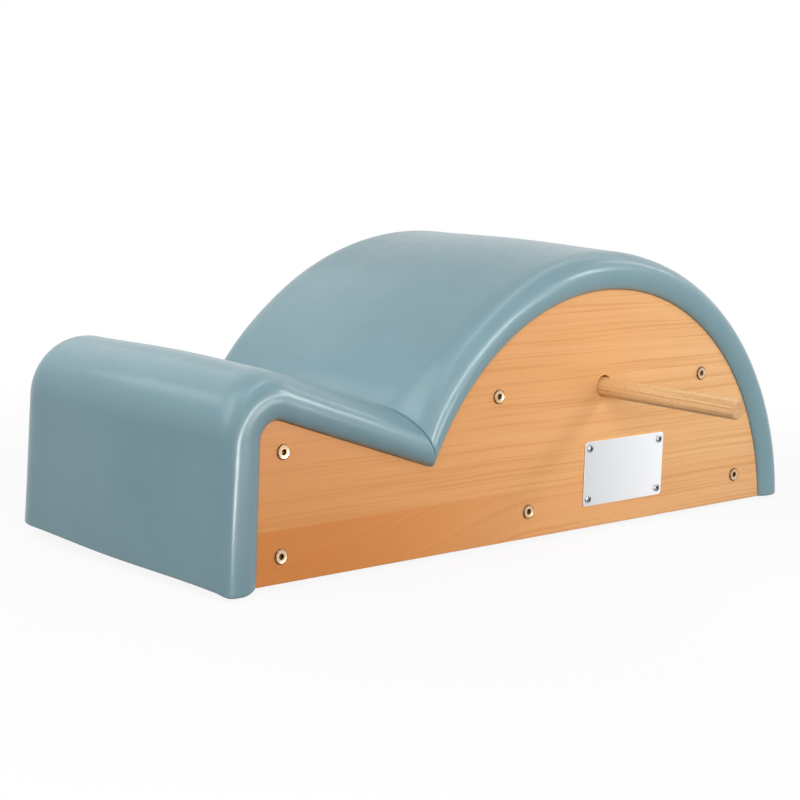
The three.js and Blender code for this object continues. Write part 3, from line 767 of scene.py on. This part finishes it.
def rubber_material():
    s = Shader("rubber")
    speckle = s.noise(s.coordinates, scale=900.0, detail=3.0)
    colour = s.blend(s.ranged(speckle, 0.3, 0.7), rgb(26, 26, 27), rgb(44, 44, 45))
    s.surface(Base_Color=colour, Roughness=0.8, Normal=s.bump(speckle, 0.0003, 0.5))
    return s.material


vinyl = vinyl_material()
beech = wood_material("beech", rgb(243, 191, 134), rgb(236, 180, 122), rgb(215, 151, 90), planked=True)
bar_beech = wood_material(
    "bar_beech", rgb(246, 204, 148), rgb(238, 192, 136), rgb(196, 140, 86), axis="y",
    flecks=0.9, roughness=0.6, end=(BAR_HALF - 1.4) / 1000.0)
rail_wood = wood_material(
    "rail_wood", rgb(232, 206, 160), rgb(224, 194, 146), rgb(204, 166, 114), axis="y", roughness=0.65)
plywood = ply_material()
foam = foam_material()
coppered_steel = bolt_material()
zinced_steel = metal_material("zinced_steel", rgb(190, 193, 196), rgb(170, 173, 176), 0.32)
recessed_steel = recessed_steel_material()
plate_metal = plate_material()
rubber = rubber_material()

MATERIALS = {
    "vinyl": vinyl, "beech": beech, "bar_beech": bar_beech, "plywood": plywood, "rail_wood": rail_wood,
    "foam": foam, "coppered_steel": coppered_steel, "zinced_steel": zinced_steel,
    "plate_metal": plate_metal, "rubber": rubber,
}


def dress_frame():
    """Every CAD node gets its slot's material; some are replaced further on."""
    for subpart in frame["record"]["subparts"]:
        obj = frame["nodes"][subpart["node"]]
        material = MATERIALS[subpart["material_slot"]]
        if not obj.data.materials:
            obj.data.materials.append(material)
        for k in range(len(obj.data.materials)):
            obj.data.materials[k] = material


def hang(points, near, far):
    """Lets the front hem hang in its gentle wave, lowest at the near corner."""
    share = (points[..., 1] / (HALF_WIDTH + HEM_SPREAD) + 1) / 2
    dip = HEM_DIP * np.exp(-((share / HEM_DIP_SHARE) ** 2)) * smooth(-points[..., 0] / HEM_DIP_DEPTH)
    rise = mix(near, far, share) + HEM_WAVE * np.sin(share * 9.0) - dip
    points[..., 2] += rise * np.clip(1 - points[..., 2] / HEM_REACH, 0, 1) ** 2
    return points


def make_cover(name, path, roundings):
    rows = {"hem": 5, "side": 10, "edge": 16, "top": 18}
    rings = pad_rings(path, FIT_GAP / 2, 0.0, FIT_GAP, HEM_WIDTH, roundings, rows)
    if name == "step_cover":
        hang(rings, *COVER_RISE)
    count, columns = rings.shape[:2]
    faces = grid_faces(count, columns, wrap=False)
    hem = rows["hem"]
    inner = range(hem, columns - hem)
    faces.append(tuple(inner))
    faces.append(tuple((count - 1) * columns + v for v in reversed(inner)))
    cover = mesh_object(name, place(rings.reshape(-1, 3)), faces)
    skin = cover.modifiers.new("skin", "SOLIDIFY")
    skin.thickness = SKIN / 1000.0
    skin.offset = -1.0
    applied(cover)
    sharpen(cover, 50)
    finish_piece(cover, vinyl, "vinyl", name)
    return cover


def make_foam(name, path, roundings):
    shrink = SKIN + FIT_GAP
    floor = DECK_FLOOR + DECK_THICKNESS + FIT_GAP
    rows = {"hem": 1, "side": 5, "edge": 9, "top": 8}
    rings = pad_rings(path, FIT_GAP / 2 + shrink, shrink, floor, FOAM_HEM_WIDTH, roundings, rows)
    if name == "step_foam":
        hang(rings, *FOAM_RISE)
    pad = sharpen(capped_run(name, rings), 50)
    finish_piece(pad, foam, "foam", name)
    return pad


def make_deck(name, path):
    """A bent board whose long edges show their plies as fine steps."""
    inset = FIT_GAP / 2 + SKIN + FIT_GAP
    half = HALF_WIDTH - SKIN - FIT_GAP
    side = []
    for k in range(DECK_PLIES + 1):
        side.append((half - PLY_STEP * (k % 2), DECK_FLOOR + DECK_THICKNESS * k / DECK_PLIES))
    section = side + [(-y, offset) for y, offset in reversed(side)]
    rings = []
    for t in path.stations():
        ring = []
        for y, offset in section:
            x, z = path.point(t, offset, inset)
            ring.append((x, y, z))
        rings.append(ring)
    deck = sharpen(capped_run(name, np.array(rings)), 30)
    return finish_piece(deck, plywood, "plywood", name)


def panel_outline():
    points = [(0.0, 0.0), (PANEL_LENGTH, 0.0)]
    start = math.asin(BARREL_DROP / BARREL_RADIUS)
    end = math.atan2(BARREL_OUT[1], BARREL_OUT[0])
    for k in range(1, 97):
        points.append(tuple(BARREL_CENTRE + unit(mix(start, end, k / 96)) * BARREL_RADIUS))
    for k in range(17):
        points.append(tuple(CORNER_CENTRE + unit(mix(STEP_ANGLE, FRONT_ANGLE, k / 16)) * CORNER_RADIUS))
    return points


def flat_piece(name, outline, holes, thickness, bevel, front, offset=(0.0, 0.0)):
    """A board cut to an outline in X and Z with rounded edges; its lowest Y is front."""
    curve = bpy.data.curves.new(name, "CURVE")
    curve.dimensions = "2D"
    curve.fill_mode = "BOTH"
    curve.extrude = (thickness / 2 - bevel) / 1000.0
    curve.bevel_depth = bevel / 1000.0
    curve.bevel_resolution = 2
    curve.offset = -bevel / 1000.0
    circles = []
    for x, z, radius, sides in holes:
        circles.append([(x + radius * math.cos(a), z + radius * math.sin(a))
                        for a in np.linspace(0, 2 * math.pi, sides, endpoint=False)])
    for ring in [outline] + circles:
        spline = curve.splines.new("POLY")
        spline.points.add(len(ring) - 1)
        spline.use_cyclic_u = True
        for point, (x, z) in zip(spline.points, ring):
            point.co = (x / 1000.0, z / 1000.0, 0.0, 1.0)
    holder = add_object(name + "_curve", curve)
    mesh = bpy.data.meshes.new_from_object(holder.evaluated_get(bpy.context.evaluated_depsgraph_get()))
    bpy.data.objects.remove(holder)
    # The curve's plane becomes X and Z, and its +Z side faces -Y
    mesh.transform(Matrix(((1, 0, 0, 0), (0, 0, -1, 0), (0, 1, 0, 0), (0, 0, 0, 1))))
    middle = front + thickness / 2
    shift = Vector((offset[0] / 1000.0, middle / 1000.0, offset[1] / 1000.0)) + Vector(ORIGIN)
    mesh.transform(Matrix.Translation(shift))
    return sharpen(add_object(name, mesh), 35)


def make_panels():
    holes = [(x, z, BOLT_HOLE_RADIUS, 24) for x, z in BOLTS.values()]
    holes.append((BAR_X, BAR_HOLE_Z, BAR_HOLE_RADIUS, 72))
    outline = panel_outline()
    for side, front in (("near", -HALF_WIDTH), ("far", INNER_HALF_WIDTH)):
        panel = flat_piece(f"side_panel_{side}", outline, holes, PANEL_THICKNESS, PANEL_BEVEL, front)
        finish_piece(panel, beech, "beech", f"side_panel_{side}")


def rounded_rim(radius, height, rounding, steps):
    """The round from the side of a turned piece onto its end, as (radius, height) pairs."""
    points = []
    for k in range(steps + 1):
        angle = k / steps * math.pi / 2
        inward, down = 1 - math.cos(angle), 1 - math.sin(angle)
        points.append((radius - rounding * inward, height - rounding * down))
    return points


def make_bolts():
    tip, shank = -BOLT_SHANK_LENGTH, BOLT_SHANK_RADIUS
    top, dish = BOLT_HEAD_HEIGHT, BOLT_HEAD_HEIGHT - BOLT_DISH_DEPTH
    profile = [(0, tip), (shank - 0.6, tip), (shank, tip + 1), (shank, 0.0)]
    profile += [(BOLT_HEAD_RADIUS - 0.4, 0.0), (BOLT_HEAD_RADIUS, 0.35)]
    profile += rounded_rim(BOLT_HEAD_RADIUS, top, BOLT_HEAD_ROUNDING, 5)
    profile += [(6.3, top), (6.0, dish + 0.25), (5.3, dish + 0.05), (4.4, dish), (0, dish)]
    bolt = lathe("bolt_form", profile, 64)
    corners = [tuple(unit(k * math.pi / 3) * SOCKET_ACROSS / math.sqrt(3)) for k in range(6)]
    socket = prism("socket", corners, SOCKET_FLOOR, 5.0)
    carve(bolt, socket)
    sharpen(bolt, 35)
    mesh = bolt.data
    bpy.data.objects.remove(bolt)
    for side, sign in (("near", -1), ("far", 1)):
        for index, (name, (x, z)) in enumerate(BOLTS.items()):
            obj = add_object(f"bolt_{side}_{name}", mesh)
            turn = Matrix.Rotation(math.radians(BOLT_TURN_FIRST + BOLT_TURN_STEP * index), 4, "Z")
            outward = Matrix.Rotation(-sign * math.pi / 2, 4, "X")
            y = sign * (HALF_WIDTH + FIT_GAP)
            obj.matrix_world = Matrix.Translation(place((x, y, z))) @ outward @ turn
            finish_piece(obj, coppered_steel, "coppered_steel", f"bolt_{side}_{name}")


def make_bar():
    end = rounded_rim(BAR_RADIUS, BAR_HALF, BAR_END_ROUNDING, 8)
    profile = [(0, -BAR_HALF)] + [(r, -h) for r, h in reversed(end)] + end + [(0, BAR_HALF)]
    bar = lathe("hand_bar", profile, 96)
    bar.data.transform(Matrix.Rotation(math.pi / 2, 4, "X"))
    bar.data.transform(Matrix.Translation(place((BAR_X, 0.0, BAR_Z))))
    finish_piece(bar, bar_beech, "bar_beech", "hand_bar", body="hand_bar")


def rounded_rectangle(width, height, radius, steps=10):
    points = []
    for x, z, first in ((1, -1, -1), (1, 1, 0), (-1, 1, 1), (-1, -1, 2)):
        centre = np.array([x * (width / 2 - radius), z * (height / 2 - radius)])
        for k in range(steps + 1):
            points.append(tuple(centre + unit((first + k / steps) * math.pi / 2) * radius))
    return points


def make_plate():
    dx = PLATE_SIZE[0] / 2 - PLATE_SCREW_INSET
    dz = PLATE_SIZE[1] / 2 - PLATE_SCREW_INSET
    places = [(x, z) for x in (-dx, dx) for z in (-dz, dz)]
    outline = rounded_rectangle(*PLATE_SIZE, PLATE_CORNER_RADIUS)
    holes = [(x, z, PLATE_SCREW_HOLE_RADIUS, 20) for x, z in places]
    front = -HALF_WIDTH - FIT_GAP - PLATE_THICKNESS
    plate = flat_piece("name_plate", outline, holes, PLATE_THICKNESS, PLATE_BEVEL, front, PLATE_CENTRE)
    finish_piece(plate, plate_metal, "plate_metal", "name_plate")

    shoulder = PLATE_SCREW_RADIUS - PLATE_SCREW_LENGTH
    shank = [(0, -PLATE_SCREW_LENGTH), (PLATE_SCREW_RADIUS, shoulder), (PLATE_SCREW_RADIUS, 0.0)]
    form = lathe("screw_form", shank + PLATE_SCREW_DOME, 48)
    slots = []
    for a, b in ((SLOT_HALF_LENGTH, SLOT_HALF_WIDTH), (SLOT_HALF_WIDTH, SLOT_HALF_LENGTH)):
        slots.append(prism("slot", [(-a, -b), (a, -b), (a, b), (-a, b)], SLOT_FLOOR, 3.0))
    carve(form, *slots)
    sharpen(form, 35)
    mesh = form.data
    bpy.data.objects.remove(form)
    for index, (x, z) in enumerate(places):
        screw = add_object(f"plate_screw_{index + 1}", mesh)
        where = place((PLATE_CENTRE[0] + x, front - FIT_GAP, PLATE_CENTRE[1] + z))
        turn = Matrix.Rotation(math.radians(PLATE_SCREW_TURNS[index]), 4, "Z")
        screw.matrix_world = Matrix.Translation(where) @ Matrix.Rotation(math.pi / 2, 4, "X") @ turn
        finish_piece(screw, recessed_steel, "zinced_steel", f"plate_screw_{index + 1}")


def make_feet():
    sides = 64
    points = []
    for radius, height in FOOT_OUTLINE:
        for k in range(sides):
            angle = 2 * math.pi * k / sides
            points.append((radius * math.cos(angle), radius * math.sin(angle), height))
    faces = grid_faces(len(FOOT_OUTLINE), sides, wrap=True)
    last = (len(FOOT_OUTLINE) - 1) * sides
    faces += [(last + k, last + (k + 1) % sides, (k + 1) % sides, k) for k in range(sides)]
    for side, sign in (("near", -1), ("far", 1)):
        for end in ("front", "rear"):
            foot = mesh_object(f"foot_{side}_{end}", np.array(points) / 1000.0, faces)
            sharpen(foot, 35)
            where = place((BOLTS[f"{end}_lower"][0], sign * (HALF_WIDTH - FOOT_INSET), -FIT_GAP))
            foot.data.transform(Matrix.Translation(where))
            finish_piece(foot, rubber, "rubber", f"foot_{side}_{end}")


def make_staples():
    """Fine staples that hold the hems under the decks, joined into one piece for each deck."""
    box = ((0, 1, 3, 2), (4, 6, 7, 5), (0, 4, 5, 1), (2, 3, 7, 6), (1, 5, 7, 3), (0, 2, 6, 4))
    below = np.array([PANEL_LENGTH / 2, 0.0])
    for name, path, low, high, step in (
        ("step_staples", StepPath(), 0.12, 2.94, 0.13),
        ("barrel_staples", BarrelPath(), 0.03, 0.97, 0.033),
    ):
        points, faces = [], []
        nudge = 0.006 * path.length
        for t in np.arange(low, high, step):
            before = path.point(t - nudge, 0.0, 0.0)
            after = path.point(min(t + nudge, path.length), 0.0, 0.0)
            along = (after - before) / np.linalg.norm(after - before)
            centre = path.point(t, FIT_GAP, 0.0)
            inward = np.array([along[1], -along[0]])
            inward *= -np.sign(inward @ (centre - below))
            for sign in (-1, 1):
                middle = sign * (HALF_WIDTH - HEM_WIDTH + STAPLE_INSET)
                first = len(points)
                for end in (-STAPLE_LENGTH / 2, STAPLE_LENGTH / 2):
                    for edge in (-STAPLE_WIDTH / 2, STAPLE_WIDTH / 2):
                        for depth in (0.0, STAPLE_DEPTH):
                            x, z = centre + along * end + inward * depth
                            points.append((x, middle + edge, z))
                faces += [tuple(first + k for k in face) for face in box]
        staples = mesh_object(name, place(points), faces, smooth_faces=False)
        finish_piece(staples, zinced_steel, "zinced_steel")


def away(azimuth, elevation):
    """The direction in which a camera or lamp stands, from its azimuth and elevation in degrees."""
    azimuth, elevation = math.radians(azimuth), math.radians(elevation)
    level = math.cos(elevation)
    return Vector((math.sin(azimuth) * level, -math.cos(azimuth) * level, math.sin(elevation)))


def make_camera():
    roll = math.radians(CAMERA_ROLL)
    back = away(CAMERA_AZIMUTH, CAMERA_ELEVATION)
    right = (-back).cross(Vector((0, 0, 1))).normalized()
    up = right.cross(-back)
    rolled_right = math.cos(roll) * right + math.sin(roll) * up
    rolled_up = -math.sin(roll) * right + math.cos(roll) * up
    data = bpy.data.cameras.new("camera")
    data.sensor_width = CAMERA_SENSOR
    data.lens = CAMERA_LENS
    data.clip_start, data.clip_end = CAMERA_CLIP
    camera = add_object("camera", data)
    location = Vector(CAMERA_TARGET) + back * CAMERA_DISTANCE
    rotation = Matrix((rolled_right, rolled_up, back)).transposed().to_4x4()
    camera.matrix_world = Matrix.Translation(location) @ rotation
    bpy.context.scene.camera = camera


def area_light(name, location, target, width, height, power):
    """A soft light that faces a point and that the camera doesn't see."""
    data = bpy.data.lights.new(name, "AREA")
    data.shape = "RECTANGLE"
    data.size = width
    data.size_y = height
    data.energy = power
    lamp = add_object(name, data)
    lamp.location = location
    lamp.rotation_euler = (Vector(target) - Vector(location)).to_track_quat("-Z", "Y").to_euler()
    lamp.visible_camera = False
    return lamp


def seen_white(tree):
    """1 for camera, glossy and transmission rays, which see the plain white surroundings."""
    path = tree.nodes.new("ShaderNodeLightPath")
    total = path.outputs["Is Camera Ray"]
    for name in ("Is Glossy Ray", "Is Transmission Ray"):
        larger = tree.nodes.new("ShaderNodeMath")
        larger.operation = "MAXIMUM"
        tree.links.new(total, larger.inputs[0])
        tree.links.new(path.outputs[name], larger.inputs[1])
        total = larger.outputs[0]
    return total


def make_world():
    """White surroundings to the eye; soft light that is stronger near the horizon."""
    world = bpy.data.worlds.new("studio")
    bpy.context.scene.world = world
    world.use_nodes = True
    tree = world.node_tree
    tree.nodes.clear()
    output = tree.nodes.new("ShaderNodeOutputWorld")
    seen = tree.nodes.new("ShaderNodeBackground")
    seen.inputs["Color"].default_value = (1, 1, 1, 1)
    lit = tree.nodes.new("ShaderNodeBackground")
    coordinates = tree.nodes.new("ShaderNodeTexCoord")
    split = tree.nodes.new("ShaderNodeSeparateXYZ")
    tree.links.new(coordinates.outputs["Generated"], split.inputs[0])
    height = tree.nodes.new("ShaderNodeMapRange")
    height.interpolation_type = "SMOOTHSTEP"
    height.inputs["From Min"].default_value = WORLD_RISE[0]
    height.inputs["From Max"].default_value = WORLD_RISE[1]
    height.inputs["To Min"].default_value = WORLD_LOW
    height.inputs["To Max"].default_value = WORLD_HIGH
    tree.links.new(split.outputs["Z"], height.inputs["Value"])
    tree.links.new(height.outputs["Result"], lit.inputs["Strength"])
    mixed = tree.nodes.new("ShaderNodeMixShader")
    tree.links.new(seen_white(tree), mixed.inputs["Fac"])
    tree.links.new(lit.outputs[0], mixed.inputs[1])
    tree.links.new(seen.outputs[0], mixed.inputs[2])
    tree.links.new(mixed.outputs[0], output.inputs["Surface"])


def make_floor():
    """A pale floor that keeps the object's shadow and shows white elsewhere."""
    corners = [(x * FLOOR_HALF, y * FLOOR_HALF, 0) for x, y in ((-1, -1), (1, -1), (1, 1), (-1, 1))]
    floor = mesh_object("floor", corners, [(0, 1, 2, 3)], smooth_faces=False)
    floor.location.z = -FLOOR_DEPTH
    material = bpy.data.materials.new("floor")
    material.use_nodes = True
    tree = material.node_tree
    tree.nodes.clear()
    output = tree.nodes.new("ShaderNodeOutputMaterial")
    lit = tree.nodes.new("ShaderNodeBsdfDiffuse")
    lit.inputs["Color"].default_value = (FLOOR_LIT, FLOOR_LIT, FLOOR_LIT, 1)
    shadowed = tree.nodes.new("ShaderNodeBsdfDiffuse")
    shadowed.inputs["Color"].default_value = (FLOOR_SHADOWED, FLOOR_SHADOWED, FLOOR_SHADOWED, 1)
    white = tree.nodes.new("ShaderNodeEmission")
    white.inputs["Color"].default_value = (1, 1, 1, 1)
    white.inputs["Strength"].default_value = 1.0
    coordinates = tree.nodes.new("ShaderNodeTexCoord")
    distance = tree.nodes.new("ShaderNodeVectorMath")
    distance.operation = "LENGTH"
    tree.links.new(coordinates.outputs["Object"], distance.inputs[0])
    clear = tree.nodes.new("ShaderNodeMapRange")
    clear.interpolation_type = "SMOOTHSTEP"
    clear.inputs["From Min"].default_value = FLOOR_CLEAR[0]
    clear.inputs["From Max"].default_value = FLOOR_CLEAR[1]
    clear.inputs["To Min"].default_value = FLOOR_WHITE
    clear.inputs["To Max"].default_value = 1.0
    tree.links.new(distance.outputs["Value"], clear.inputs["Value"])
    pale = tree.nodes.new("ShaderNodeMixShader")
    tree.links.new(clear.outputs["Result"], pale.inputs["Fac"])
    tree.links.new(shadowed.outputs[0], pale.inputs[1])
    tree.links.new(white.outputs[0], pale.inputs[2])
    both = tree.nodes.new("ShaderNodeMixShader")
    tree.links.new(seen_white(tree), both.inputs["Fac"])
    tree.links.new(lit.outputs[0], both.inputs[1])
    tree.links.new(pale.outputs[0], both.inputs[2])
    tree.links.new(both.outputs[0], output.inputs["Surface"])
    floor.data.materials.append(material)


def make_lights():
    """The softboxes and the strip lights."""
    for name, (azimuth, elevation, distance, width, height, power, target) in LAMPS.items():
        location = Vector(target) + away(azimuth, elevation) * distance
        lamp = area_light(name, location, target, width, height, power)
        lamp.visible_glossy = name not in WITHOUT_GLOSS
    for name, (target, width, bends, powers) in STRIPS.items():
        for index, (start, end, power) in enumerate(zip(bends, bends[1:], powers)):
            start, end = Vector(start), Vector(end)
            length = (end - start).length
            lamp = area_light(f"{name}_{index}", (start + end) / 2, target, length, width, power * length)
            along = (end - start).normalized()
            back = (lamp.location - Vector(target)).normalized()
            across = back.cross(along).normalized()
            turned = Matrix((along, across, along.cross(across))).transposed().to_4x4()
            lamp.matrix_world = Matrix.Translation(lamp.location) @ turned
            lamp.visible_diffuse = False


dress_frame()
step_path, barrel_path = StepPath(), BarrelPath()
make_cover("step_cover", step_path, (HEM_ROUNDING, SEAM_ROUNDING))
make_cover("barrel_cover", barrel_path, (SEAM_ROUNDING, FOOT_ROUNDING))
make_foam("step_foam", step_path, (HEM_ROUNDING - SKIN, SEAM_ROUNDING))
make_foam("barrel_foam", barrel_path, (SEAM_ROUNDING, FOOT_ROUNDING - SKIN))
make_deck("step_deck", step_path)
make_deck("barrel_deck", barrel_path)
make_panels()
make_bolts()
make_bar()
make_plate()
make_feet()
make_staples()
make_camera()
make_world()
make_floor()
make_lights()

bpy.context.scene.view_settings.view_transform = "Standard"
